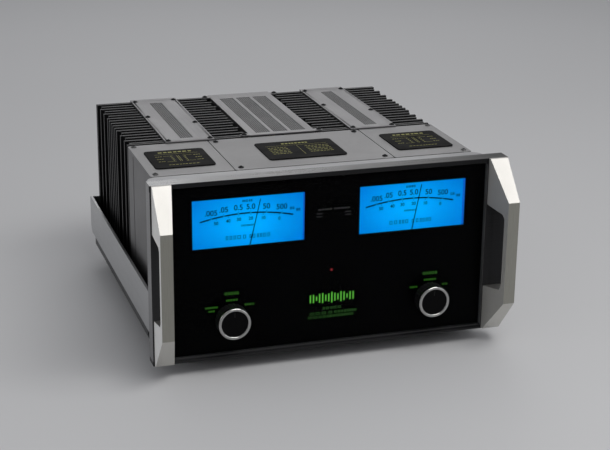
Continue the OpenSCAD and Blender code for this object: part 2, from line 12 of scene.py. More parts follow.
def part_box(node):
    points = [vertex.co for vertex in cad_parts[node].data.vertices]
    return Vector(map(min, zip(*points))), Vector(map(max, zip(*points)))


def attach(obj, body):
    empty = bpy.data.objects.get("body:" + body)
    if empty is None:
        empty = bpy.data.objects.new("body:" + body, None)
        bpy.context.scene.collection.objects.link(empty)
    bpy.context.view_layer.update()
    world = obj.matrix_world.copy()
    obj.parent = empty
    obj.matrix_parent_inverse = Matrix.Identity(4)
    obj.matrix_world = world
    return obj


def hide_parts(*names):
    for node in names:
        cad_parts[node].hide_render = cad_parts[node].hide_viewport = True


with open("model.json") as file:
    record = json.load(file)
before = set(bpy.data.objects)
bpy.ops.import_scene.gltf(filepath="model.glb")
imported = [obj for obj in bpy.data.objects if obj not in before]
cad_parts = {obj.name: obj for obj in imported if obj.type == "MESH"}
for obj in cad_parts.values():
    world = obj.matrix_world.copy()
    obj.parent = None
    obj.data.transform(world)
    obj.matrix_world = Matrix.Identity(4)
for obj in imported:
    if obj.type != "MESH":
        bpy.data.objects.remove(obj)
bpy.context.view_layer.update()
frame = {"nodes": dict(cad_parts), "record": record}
nodes = frame["nodes"]
rng = random.Random(7)

MM = 0.001
FRAME_SILVER = (0.33, 0.33, 0.335)
BODY = "amplifier"


# ---------------------------------------------------------------- materials

class Tree:
    """A material's node tree with short ways to add and join nodes."""

    def __init__(self, name):
        self.mat = bpy.data.materials.new(name)
        self.mat.use_nodes = True
        self.tree = self.mat.node_tree
        self.tree.nodes.clear()
        self.out = self.add("ShaderNodeOutputMaterial")
        self._space = None

    def add(self, kind, **settings):
        made = self.tree.nodes.new(kind)
        for key, value in settings.items():
            setattr(made, key, value)
        return made

    def join(self, source, target):
        self.tree.links.new(source, target)

    def feed(self, value, target):
        """A socket is linked, and a plain value is set."""
        if isinstance(value, bpy.types.NodeSocket):
            self.join(value, target)
        elif hasattr(target.default_value, "__len__") and not hasattr(value, "__len__"):
            target.default_value = [value] * 3 + [1.0] * (len(target.default_value) - 3)
        elif hasattr(value, "__len__") and len(value) == 3 and len(target.default_value) == 4:
            target.default_value = (*value, 1.0)
        else:
            target.default_value = value

    @property
    def space(self):
        """Object coordinates, which are metres in the frame for every piece."""
        if self._space is None:
            self._space = self.add("ShaderNodeTexCoord").outputs["Object"]
        return self._space

    def stretch(self, scale):
        made = self.add("ShaderNodeMapping")
        self.join(self.space, made.inputs["Vector"])
        made.inputs["Scale"].default_value = scale
        return made.outputs["Vector"]

    def noise(self, scale=(1, 1, 1), detail=3.0, rough=0.55, warp=0.0):
        made = self.add("ShaderNodeTexNoise")
        self.join(self.stretch(scale), made.inputs["Vector"])
        made.inputs["Scale"].default_value = 1.0
        made.inputs["Detail"].default_value = detail
        made.inputs["Roughness"].default_value = rough
        made.inputs["Distortion"].default_value = warp
        return made.outputs["Fac"]

    def cells(self, scale):
        """Distance to the nearest of a scatter of points."""
        made = self.add("ShaderNodeTexVoronoi")
        self.join(self.stretch(scale), made.inputs["Vector"])
        made.inputs["Scale"].default_value = 1.0
        return made.outputs["Distance"]

    def math(self, kind, a, b=0.0, clamp=False):
        made = self.add("ShaderNodeMath", operation=kind, use_clamp=clamp)
        self.feed(a, made.inputs[0])
        self.feed(b, made.inputs[1])
        return made.outputs[0]

    def remap(self, value, low, high, to_low, to_high):
        made = self.add("ShaderNodeMapRange")
        self.feed(value, made.inputs["Value"])
        for key, number in (("From Min", low), ("From Max", high), ("To Min", to_low),
                            ("To Max", to_high)):
            made.inputs[key].default_value = number
        return made.outputs["Result"]

    def mix(self, factor, a, b):
        made = self.add("ShaderNodeMix", data_type="RGBA")
        self.feed(factor, made.inputs[0])
        self.feed(a, made.inputs[6])
        self.feed(b, made.inputs[7])
        return made.outputs[2]

    def shade(self, factor, colour, amount):
        """colour, made darker and lighter by amount as factor goes from 0 to 1."""
        dark = [c * (1 - amount) for c in colour]
        light = [min(1.0, c * (1 + amount)) for c in colour]
        return self.mix(factor, dark, light)

    def bump(self, height, strength, distance, under=None):
        made = self.add("ShaderNodeBump")
        self.join(height, made.inputs["Height"])
        made.inputs["Strength"].default_value = strength
        made.inputs["Distance"].default_value = distance
        if under is not None:
            self.join(under, made.inputs["Normal"])
        return made.outputs["Normal"]

    def place(self):
        """The point's x, y and z in metres."""
        made = self.add("ShaderNodeSeparateXYZ")
        self.join(self.space, made.inputs[0])
        return made.outputs

    def facing(self):
        """The face's direction as x, y and z."""
        geometry = self.add("ShaderNodeNewGeometry")
        made = self.add("ShaderNodeSeparateXYZ")
        self.join(geometry.outputs["True Normal"], made.inputs[0])
        return made.outputs

    def surface(self, colour, metallic, roughness, normal=None, **extra):
        """Ends the tree in a principled surface; extra names its other inputs."""
        made = self.add("ShaderNodeBsdfPrincipled")
        self.feed(colour, made.inputs["Base Color"])
        self.feed(metallic, made.inputs["Metallic"])
        self.feed(roughness, made.inputs["Roughness"])
        if normal is not None:
            self.join(normal, made.inputs["Normal"])
        for key, value in extra.items():
            self.feed(value, made.inputs[key.replace("_", " ")])
        self.join(made.outputs[0], self.out.inputs["Surface"])
        return made


def smudges(t, low, high):
    """Roughness that wanders slowly over a surface, as handled metal does."""
    return t.remap(t.noise((9, 9, 9), 4.0, 0.6, 0.6), 0.3, 0.7, low, high)


def brushed(name, colour, rough, along, grain=0.22):
    """Metal with fine hairlines running along one axis."""
    t = Tree(name)
    lines = t.noise([7.0 if axis == along else 1700.0 for axis in "XYZ"], 2.0, 0.7)
    bands = t.noise([2.0 if axis == along else 260.0 for axis in "XYZ"], 2.0, 0.5)
    tone = t.math("MULTIPLY_ADD", lines, 0.6)
    tone.node.inputs[2].default_value = 0.2
    colour_out = t.mix(0.5, t.shade(tone, colour, grain), t.shade(bands, colour, grain * 0.6))
    roughness = t.math("ADD", smudges(t, rough - 0.05, rough + 0.06),
                       t.remap(lines, 0.3, 0.7, -0.05, 0.07), clamp=True)
    t.surface(colour_out, 1.0, roughness, t.bump(lines, 0.12, 0.0002), Anisotropic=0.5)
    return t


def lacquered(name, colour, rough, wall=1.0):
    """Sheet metal under a thin satin coat, with a faint mottle; wall scales its upright faces
    darker, as painted shade.
    """
    t = Tree(name)
    fleck = t.noise((1500, 1500, 1500), 3.0, 0.7)
    slow = t.noise((6, 6, 6), 4.0, 0.55, 0.8)
    tone = t.mix(0.5, t.shade(fleck, colour, 0.16), t.shade(slow, colour, 0.07))
    if wall < 1:
        # painted shade: upright faces are darkened by wall against the tops
        upright = t.math("LESS_THAN", t.math("ABSOLUTE", t.facing()[2]), 0.5)
        tone = t.mix(upright, tone, t.shade(fleck, [c * wall for c in colour], 0.16))
    t.surface(tone, 0.85, smudges(t, rough - 0.05, rough + 0.07), t.bump(fleck, 0.10, 0.0002),
              Coat_Weight=0.25, Coat_Roughness=0.25)
    return t


def powder(name, colour, rough):
    """Powder coat with its orange peel."""
    t = Tree(name)
    peel = t.noise((520, 520, 520), 2.0, 0.5)
    grit = t.noise((2200, 2200, 2200), 2.0, 0.6)
    first = t.bump(peel, 0.30, 0.0006)
    t.surface(t.shade(peel, colour, 0.14), 0.0, smudges(t, rough - 0.05, rough + 0.08),
              t.bump(grit, 0.15, 0.0002, first), Specular_IOR_Level=0.45)
    return t


def moulded(name, colour, rough, grain=0.08, clear=0.0):
    """Moulded plastic or rubber with a faint grain."""
    t = Tree(name)
    fine = t.noise((1300, 1300, 1300), 3.0, 0.6)
    slow = t.noise((22, 22, 22), 3.0, 0.5)
    t.surface(t.mix(0.5, t.shade(fine, colour, grain * 2), t.shade(slow, colour, grain)), 0.0,
              t.math("ADD", smudges(t, rough - 0.04, rough + 0.06),
                     t.remap(fine, 0.3, 0.7, -0.02, 0.04), clamp=True),
              t.bump(fine, grain, 0.0003), Coat_Weight=clear, Coat_Roughness=0.08)
    return t


def plated(name, colour, rough):
    """Polished plating with faint turning marks and finger marks."""
    t = Tree(name)
    fine = t.noise((3000, 600, 3000), 2.0, 0.6)
    t.surface(t.shade(t.noise((60, 60, 60), 3.0), colour, 0.06), 1.0,
              t.math("ADD", smudges(t, rough, rough + 0.06),
                     t.remap(fine, 0.35, 0.65, 0.0, 0.05)), t.bump(fine, 0.04, 0.0001))
    return t


def lit(name, colour, strength, mottle=0.10):
    """Print or lens lit from behind, a little uneven."""
    t = Tree(name)
    slow = t.noise((90, 90, 90), 2.0, 0.5)
    t.surface([c * 0.25 for c in colour], 0.0, 0.35, Emission_Color=t.shade(slow, colour, mottle),
              Emission_Strength=strength)
    return t


def board(name):
    """Circuit board: solder resist with paler tracks under it."""
    t = Tree(name)
    tracks = t.cells((130, 130, 130))
    weave = t.noise((1800, 1800, 1800), 2.0, 0.5)
    tone = t.mix(t.remap(tracks, 0.08, 0.12, 1.0, 0.0), (0.012, 0.10, 0.045), (0.05, 0.24, 0.11))
    t.surface(t.mix(t.remap(weave, 0.4, 0.6, 0.0, 0.2), tone, (0.008, 0.05, 0.03)), 0.0,
              t.remap(tracks, 0.0, 0.3, 0.25, 0.4), t.bump(tracks, 0.15, 0.0003))
    return t


def frame_finish():
    """Brushed frame, dark round the glass, with painted shade behind the handles and on its side
    faces, and a painted reflection on its top that fades rightwards.
    """
    t = Tree("frame_aluminium")
    lines = t.noise((6, 1500, 1500), 2.0, 0.7)
    glass_lo, glass_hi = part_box("front_glass")
    x, y, z = t.place()
    nx, ny, nz = t.facing()

    def where(value, kind, limit, amount=1.0):
        """amount where the value is over or under the limit, nothing elsewhere."""
        return t.math("MULTIPLY", t.math(kind, value, limit), amount)

    bevel = t.math("MULTIPLY", where(y, "LESS_THAN", glass_lo.y + 0.2 * MM, 0.97),
                   t.math("MULTIPLY", where(z, "GREATER_THAN", glass_hi.z - 1 * MM),
                          where(nz, "LESS_THAN", 0.9)))
    outer = where(t.math("ABSOLUTE", x), "GREATER_THAN", glass_hi.x - 0.5 * MM)
    # painted shade: the frame's front face behind the handles is darkened, more on the right than
    # on the left
    behind = t.math("MULTIPLY", where(ny, "LESS_THAN", -0.7, outer),
                    t.remap(x, glass_lo.x, glass_hi.x, 0.92, 0.97))
    under = where(z, "LESS_THAN", glass_lo.z - 2 * MM, 0.06)
    sill = where(z, "LESS_THAN", glass_lo.z + 0.2 * MM, t.math("ADD", 0.90, under))
    # painted shade: the frame's upright side faces are darkened
    side = where(t.math("ABSOLUTE", nx), "GREATER_THAN", 0.7, 0.22)
    # dark joins the black bevel and sill with the painted shade behind the handles and on the sides
    dark = t.math("MAXIMUM", t.math("MAXIMUM", bevel, side), t.math("MAXIMUM", behind, sill))

    # painted reflection: the top face is pale on the left and fades darker to the right, as the
    # studio light falls on it
    across = t.remap(x, glass_lo.x, glass_hi.x, 0.0, 1.0)
    streak = t.remap(t.noise((3, 40, 40), 2.0, 0.5), 0.35, 0.65, -0.06, 0.06)
    painted_light_fade = t.math("ADD", t.math("MULTIPLY", t.math("POWER", across, 0.5), 0.96), streak, clamp=True)
    painted_light_fade = where(nz, "GREATER_THAN", 0.3, painted_light_fade)

    silver = t.mix(painted_light_fade, t.shade(lines, FRAME_SILVER, 0.14), (0.035, 0.035, 0.035))
    tone = t.mix(dark, silver, t.shade(lines, (0.009, 0.009, 0.010), 0.3))
    rough = t.math("ADD", smudges(t, 0.26, 0.36), t.remap(lines, 0.3, 0.7, -0.04, 0.06))
    # dull carries the painted reflection and the painted shade, with the black trim, into metal and
    # shine
    dull = t.math("MAXIMUM", painted_light_fade, dark)
    t.surface(tone, t.remap(dull, 0.0, 1.0, 0.9, 0.0), rough, t.bump(lines, 0.08, 0.0002),
              Specular_IOR_Level=t.remap(dull, 0.0, 1.0, 0.5, 0.05))
    return t


def glass_finish():
    """Front glass: clear, with the weak reflection of a coated face."""
    t = Tree("front_glass")
    clear = t.add("ShaderNodeBsdfTransparent")
    clear.inputs["Color"].default_value = (0.98, 0.99, 0.99, 1)
    gloss = t.add("ShaderNodeBsdfGlossy")
    t.feed(t.remap(t.noise((7, 7, 7), 4.0, 0.6, 0.7), 0.35, 0.7, 0.01, 0.05),
           gloss.inputs["Roughness"])
    fresnel = t.add("ShaderNodeFresnel")
    fresnel.inputs["IOR"].default_value = 1.5
    mix = t.add("ShaderNodeMixShader")
    t.feed(t.math("MULTIPLY", fresnel.outputs[0], 0.035), mix.inputs[0])
    t.join(clear.outputs[0], mix.inputs[1])
    t.join(gloss.outputs[0], mix.inputs[2])
    t.join(mix.outputs[0], t.out.inputs["Surface"])
    return t


def dial_finish():
    """Translucent dial lit by a row of lamps: bright in the middle, falling off to the edges,
    partly with the lamps' spread and partly as painted shade from the housing walls.
    """
    t = Tree("dial_blue")
    x, _, z = t.place()
    lo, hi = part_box("meter_dial_right")
    centre_x, centre_z = (lo.x + hi.x) / 2, 180 * MM
    half_width, half_height = 74 * MM, 44 * MM
    across = t.math("SUBTRACT", t.math("ABSOLUTE", x), centre_x)
    u = t.math("DIVIDE", across, half_width)
    v = t.math("DIVIDE", t.math("SUBTRACT", z, centre_z), half_height)
    spread = t.math("SQRT", t.math("ADD", t.math("MULTIPLY", u, u), t.math("MULTIPLY", v, v)))
    wave = t.remap(t.noise((26, 26, 26), 2.0, 0.5), 0.3, 0.7, 0.97, 1.03)
    grain = t.remap(t.noise((1900, 1900, 1900), 1.0), 0.3, 0.7, 0.985, 1.015)
    seen = t.add("ShaderNodeLightPath").outputs["Is Camera Ray"]
    strength = t.math("MULTIPLY", t.math("MULTIPLY", wave, grain),
                      t.remap(seen, 0.0, 1.0, 0.12, 1.0))
    # the darkening towards the edges is partly painted shade from the housing walls
    tint = t.mix(t.remap(spread, 0.15, 1.15, 0.0, 1.0), (0.0, 0.40, 1.0), (0.0, 0.185, 0.66))
    t.surface((0.0, 0.005, 0.01), 0.0, 0.6, Emission_Color=tint, Emission_Strength=strength,
              Specular_IOR_Level=0.0)
    return t


def knob_face_finish():
    """Gloss black knob: turned face with fine rings round its axis, and a grip given a painted
    sheen, paler than the face, under a dust mottle.
    """
    t = Tree("knob_black")
    x, y, z = t.place()
    lo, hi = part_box("power_knob")
    cx, cz = (lo.x + hi.x) / 2, (lo.z + hi.z) / 2
    dx = t.math("SUBTRACT", t.math("ABSOLUTE", x), cx)
    dz = t.math("SUBTRACT", z, cz)
    radius = t.math("SQRT", t.math("ADD", t.math("MULTIPLY", dx, dx), t.math("MULTIPLY", dz, dz)))
    rings = t.math("SINE", t.math("MULTIPLY", radius, 14000.0))
    dust = t.noise((500, 500, 500), 3.0, 0.6)
    # the pointer is a short upright line on the face, measured from the knob's axis
    half_line, line_start, line_end = 0.65 * MM, 8.1 * MM, 14.9 * MM
    pointer = t.math("MULTIPLY", t.math("LESS_THAN", t.math("ABSOLUTE", dx), half_line),
                     t.math("MULTIPLY", t.math("GREATER_THAN", dz, line_start),
                            t.math("MULTIPLY", t.math("LESS_THAN", dz, line_end),
                                   t.math("LESS_THAN", y, lo.y + 3 * MM))))
    grip = t.math("GREATER_THAN", t.facing()[1], -0.5)
    tone = t.mix(pointer, t.shade(dust, (0.0026, 0.0026, 0.0028), 0.4), (0.02, 0.02, 0.02))
    # painted sheen: the grip is paler than the face for the light its ridges catch
    tone = t.mix(grip, tone, t.shade(dust, (0.008, 0.008, 0.0085), 0.4))
    t.surface(tone, 0.0, t.remap(dust, 0.3, 0.7, 0.30, 0.46), t.bump(rings, 0.05, 0.0001),
              Specular_IOR_Level=t.remap(grip, 0.0, 1.0, 0.05, 0.3))
    return t


def backing(name):
    """Black back print of the glass: almost no shine, faint screen mottle."""
    t = Tree(name)
    slow = t.noise((30, 30, 30), 3.0, 0.5)
    t.surface(t.shade(slow, (0.0006, 0.0006, 0.0007), 0.3), 0.0,
              t.remap(slow, 0.3, 0.7, 0.55, 0.7), Specular_IOR_Level=0.0)
    return t


def heatsink_finish():
    """Black anodised fins, their outer walls dusty and paler than the painted shade between the
    fins, their milled tops edged with a painted highlight.
    """
    t = Tree("heatsink_black")
    draw = t.noise((900, 900, 5), 3.0, 0.6)
    dust = t.noise((40, 40, 14), 5.0, 0.65, 0.5)
    mill = t.noise((30, 1400, 30), 2.0, 0.6)
    z = t.place()[2]
    nx, _, nz = t.facing()
    top = t.math("MULTIPLY", t.math("GREATER_THAN", nz, 0.8),
                 t.math("GREATER_THAN", z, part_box("heatsink_outer_left")[1].z - 1 * MM))
    wall = t.mix(t.remap(dust, 0.42, 0.72, 0.0, 0.3), t.shade(draw, (0.034, 0.034, 0.036), 0.3),
                 (0.06, 0.06, 0.063))
    # painted shade: the walls between the fins are darker than the outer walls
    wall = t.mix(t.math("LESS_THAN", t.math("ABSOLUTE", nx), 0.7), wall,
                 t.shade(draw, (0.013, 0.013, 0.014), 0.3))
    # painted highlight: the sloped faces along the edges of the fin tops are made pale grey
    rim = t.math("MULTIPLY", t.math("GREATER_THAN", nz, 0.25), t.math("LESS_THAN", nz, 0.97))
    tone = t.mix(top, wall, t.shade(mill, (0.022, 0.022, 0.023), 0.16))
    tone = t.mix(t.math("MULTIPLY", rim, 0.9), tone, (0.30, 0.30, 0.30))
    rough = t.math("ADD", t.remap(draw, 0.3, 0.7, 0.34, 0.46), t.remap(dust, 0.4, 0.7, 0.0, 0.08))
    t.surface(tone, 0.85, rough, t.bump(draw, 0.12, 0.0003))
    return t


def handle_finish():
    """Fine brushed casting: painted shade makes the grip face the darkest and dims the up-facing
    slopes, and painted light makes the outer face on the left the palest.
    """
    t = Tree("handle_satin")
    brush = t.noise((1500, 1500, 60), 2.0, 0.65)
    fine = t.noise((2600, 2600, 2600), 2.0, 0.6)
    slow = t.noise((14, 14, 14), 3.0, 0.5, 0.4)
    x = t.place()[0]
    nx, ny, nz = t.facing()
    # painted shade: the front grip face, facing forwards, is darkened
    grip = t.remap(ny, -0.98, -0.90, 1.0, 0.0)
    flank = t.remap(t.math("ABSOLUTE", nx), 0.6, 0.9, 0.0, 1.0)
    # painted shade: the up-facing slopes are toned darker under the bright lamp overhead
    painted_slope_shade = t.remap(nz, 0.1, 0.3, 0.0, 1.0)
    # painted light: the outer face of the left handle is paler and less metallic than the right
    # one's, as light from the left falls on it
    left = t.math("MULTIPLY", t.remap(nx, -0.9, -0.6, 1.0, 0.0), t.math("LESS_THAN", x, 0.0))
    silver = (0.60, 0.592, 0.56)
    bare = t.mix(0.5, t.shade(brush, silver, 0.10), t.shade(slow, silver, 0.05))
    bare = t.mix(painted_slope_shade, bare, t.shade(brush, (0.50, 0.49, 0.47), 0.08))
    bare = t.mix(left, bare, t.shade(brush, (0.86, 0.86, 0.84), 0.06))
    painted_shade_grip = t.shade(brush, (0.33, 0.325, 0.29), 0.16)
    rough = t.math("ADD", smudges(t, 0.41, 0.49), t.remap(fine, 0.3, 0.7, -0.03, 0.03))
    metal = t.math("SUBTRACT", t.remap(flank, 0.0, 1.0, 1.0, 0.62), t.math("MULTIPLY", left, 0.5))
    t.surface(t.mix(grip, bare, painted_shade_grip), metal,
              t.math("ADD", rough, t.math("MULTIPLY", flank, 0.1)), t.bump(brush, 0.08, 0.0002))
    return t


def plate_finish():
    """Black enamelled plate, flat in the light."""
    t = Tree("nameplate_black")
    slow = t.noise((40, 40, 40), 3.0, 0.5)
    fine = t.noise((1600, 1600, 1600), 2.0, 0.5)
    t.surface(t.shade(slow, (0.0062, 0.0062, 0.0066), 0.25), 0.0,
              t.remap(slow, 0.3, 0.7, 0.42, 0.55), t.bump(fine, 0.06, 0.0002),
              Specular_IOR_Level=0.02)
    return t


def housing_finish():
    """White meter housing, given a dark blue colour as painted light of the dial; its inner walls
    glow with painted light of the dial.
    """
    t = Tree("housing_white")
    grain = t.noise((900, 900, 900), 2.0, 0.5)
    lo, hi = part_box("meter_housing_right")
    x, _, z = t.place()
    nx, _, nz = t.facing()
    across = t.math("MULTIPLY", t.math("SUBTRACT", t.math("ABSOLUTE", x), (lo.x + hi.x) / 2),
                    t.math("MULTIPLY", t.math("SIGN", x), nx))
    upward = t.math("MULTIPLY", t.math("SUBTRACT", z, (lo.z + hi.z) / 2), nz)
    painted_dial_light = t.math("LESS_THAN", t.math("ADD", across, upward), 0.0)
    # painted light: the white housing is given a dark blue colour, and its inner faces emit blue
    t.surface(t.shade(grain, (0.02, 0.09, 0.22), 0.08), 0.0, t.remap(grain, 0.3, 0.7, 0.5, 0.6),
              Emission_Color=(0.0, 0.085, 0.46), Emission_Strength=painted_dial_light,
              Specular_IOR_Level=0.1)
    return t


def ink_finish(name, colour):
    """Print with no shine of its own, a little uneven."""
    t = Tree(name)
    slow = t.noise((300, 300, 300), 2.0, 0.5)
    t.surface(t.shade(slow, colour, 0.3), 0.0, 0.8, Specular_IOR_Level=0.0)
    return t


def screw_finish():
    """Black oxide button heads; the two on each outer cover are bare steel."""
    t = Tree("bolt_black")
    fine = t.noise((1500, 1500, 1500), 2.0, 0.6)
    x, y, z = t.place()
    # the bare ones sit high on the outer covers, in front of the heatsinks
    bare = t.math("MULTIPLY", t.math("GREATER_THAN", t.math("ABSOLUTE", x), 160 * MM),
                  t.math("MULTIPLY", t.math("LESS_THAN", y, -6 * MM),
                         t.math("GREATER_THAN", z, 200 * MM)))
    t.surface(t.mix(bare, t.shade(fine, (0.03, 0.03, 0.031), 0.2),
                    t.shade(fine, (0.14, 0.14, 0.14), 0.1)), 1.0,
              smudges(t, 0.28, 0.4), t.bump(fine, 0.08, 0.0002))
    return t


def laminated(name):
    """Transformer steel: stacked laminations under varnish."""
    t = Tree(name)
    sheets = t.noise((5, 5, 1400), 1.0, 0.4)
    stain = t.noise((50, 50, 50), 4.0, 0.6, 0.5)
    t.surface(t.mix(stain, t.shade(sheets, (0.20, 0.16, 0.12), 0.35), (0.10, 0.06, 0.03)), 0.7,
              t.remap(stain, 0.3, 0.7, 0.32, 0.5), t.bump(sheets, 0.4, 0.0003))
    return t


FINISHES = {
    "chassis_paint": powder("chassis_paint", (0.030, 0.031, 0.033), 0.42),
    "rail_metal": brushed("rail_metal", (0.54, 0.545, 0.55), 0.34, "Y", 0.12),
    "shroud_metal": lacquered("shroud_metal", (0.30, 0.30, 0.31), 0.38),
    "rear_paint": powder("rear_paint", (0.045, 0.046, 0.048), 0.45),
    "foot_rubber": moulded("foot_rubber", (0.016, 0.016, 0.016), 0.75, 0.2),
    "zinc_steel": plated("zinc_steel", (0.58, 0.58, 0.56), 0.24),
    "frame_aluminium": frame_finish(),
    "panel_black": backing("panel_black"),
    "front_glass": glass_finish(),
    "handle_satin": handle_finish(),
    "bolt_black": screw_finish(),
    "housing_white": housing_finish(),
    "dial_blue": dial_finish(),
    "movement_metal": plated("movement_metal", (0.5, 0.5, 0.5), 0.3),
    "backlight_board": lit("backlight_board", (0.35, 0.55, 0.75), 0.4),
    "led_red": lit("led_red", (0.50, 0.008, 0.015), 0.45),
    "circuit_board": board("circuit_board"),
    # the covers' upright faces carry painted shade, 0.65 of the tops' colour
    "cover_metal": lacquered("cover_metal", (0.220, 0.217, 0.220), 0.40, 0.65),
    "nameplate_black": plate_finish(),
    "heatsink_black": heatsink_finish(),
    "vent_aluminium": brushed("vent_aluminium", (0.285, 0.28, 0.286), 0.38, "Y", 0.12),
    "grille_steel": lacquered("grille_steel", (0.09, 0.09, 0.091), 0.42),
    "transformer_can": powder("transformer_can", (0.05, 0.045, 0.04), 0.5),
    "core_steel": laminated("core_steel"),
    "capacitor_sleeve": moulded("capacitor_sleeve", (0.02, 0.05, 0.15), 0.28, 0.06, 0.3),
    "device_black": moulded("device_black", (0.02, 0.02, 0.02), 0.5, 0.1),
    "gold_plate": plated("gold_plate", (0.85, 0.62, 0.26), 0.20),
    "connector_black": moulded("connector_black", (0.022, 0.022, 0.023), 0.42, 0.1),
    "knob_black": knob_face_finish(),
    "ring_chrome": plated("ring_chrome", (0.40, 0.40, 0.39), 0.12),
    "needle_black": ink_finish("needle_black", (0.0012, 0.002, 0.005)),
    "cap_red": moulded("cap_red", (0.42, 0.012, 0.012), 0.26, 0.05, 0.5),
    "cap_black": moulded("cap_black", (0.018, 0.018, 0.018), 0.26, 0.05, 0.5),
    "dial_ink": ink_finish("dial_ink", (0.0008, 0.0016, 0.006)),
    "legend_green": lit("legend_green", (0.09, 0.50, 0.03), 0.66),
    "legend_dim": lit("legend_dim", (0.060, 0.30, 0.022), 0.40),
    "legend_faint": lit("legend_faint", (0.05, 0.25, 0.025), 0.24),
    "legend_off": moulded("legend_off", (0.030, 0.030, 0.032), 0.5),
    "gold_ink": plated("gold_ink", (0.30, 0.29, 0.08), 0.45),
    "socket_white": moulded("socket_white", (0.7, 0.7, 0.68), 0.4),
    "socket_red": moulded("socket_red", (0.5, 0.02, 0.02), 0.4),
}

for part in frame["record"]["subparts"]:
    mesh = nodes[part["node"]].data
    mesh.materials.clear()
    mesh.materials.append(FINISHES[part["material_slot"]].mat)


# ---------------------------------------------------------------- softened edges

def soften(node, width, segments=2, angle=30):
    """Rounds a CAD node's sharp edges for the light, without touching its own mesh."""
    obj = nodes[node]
    weld = obj.modifiers.new("weld", "WELD")
    weld.merge_threshold = 0.00001
    bevel = obj.modifiers.new("bevel", "BEVEL")
    bevel.width = width * MM
    bevel.segments = segments
    bevel.limit_method = "ANGLE"
    bevel.angle_limit = math.radians(angle)
    bevel.harden_normals = True
    bevel.use_clamp_overlap = True
    return obj


# the glass shrinks by a hair, so that its back does not lie in the face of the black panel
glass_gap = nodes["front_glass"].modifiers.new("gap", "DISPLACE")
glass_gap.strength = -0.15 * MM
glass_gap.mid_level = 0

for node, width in {
    "handle_left": 1.8, "handle_right": 1.8, "front_frame": 0.5, "side_rail_left": 1.0,
    "side_rail_right": 1.0, "front_shroud": 0.8, "autoformer_cover_left": 0.8,
    "autoformer_cover_right": 0.8, "transformer_cover": 0.8, "vent_strip_left": 0.5,
    "vent_strip_right": 0.5, "vent_plate": 0.5, "nameplate_left": 0.35,
    "nameplate_center": 0.35, "nameplate_right": 0.35, "rear_panel": 0.5,
    "heatsink_outer_left": 0.5, "heatsink_outer_right": 0.5, "heatsink_inner_left": 0.5,
    "heatsink_inner_right": 0.5, "chassis_tray": 0.4, "meter_knob_ring": 0.4,
    "power_knob_ring": 0.4, "balanced_inputs": 0.4, "power_inlet": 0.8,
}.items():
    soften(node, width, 3 if width > 1.5 else 2)


# ---------------------------------------------------------------- pieces and flat print

def finish_piece(name, bm, material, body=BODY, smooth=False):
    """Turns a bmesh in metres into a piece that rides on a body."""
    mesh = bpy.data.meshes.new(name)
    bmesh.ops.recalc_face_normals(bm, faces=bm.faces)
    bm.to_mesh(mesh)
    bm.free()
    obj = bpy.data.objects.new(name, mesh)
    bpy.context.scene.collection.objects.link(obj)
    mesh.materials.append(FINISHES[material].mat)
    if smooth:
        for face in mesh.polygons:
            face.use_smooth = True
    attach(obj, body)
    return obj


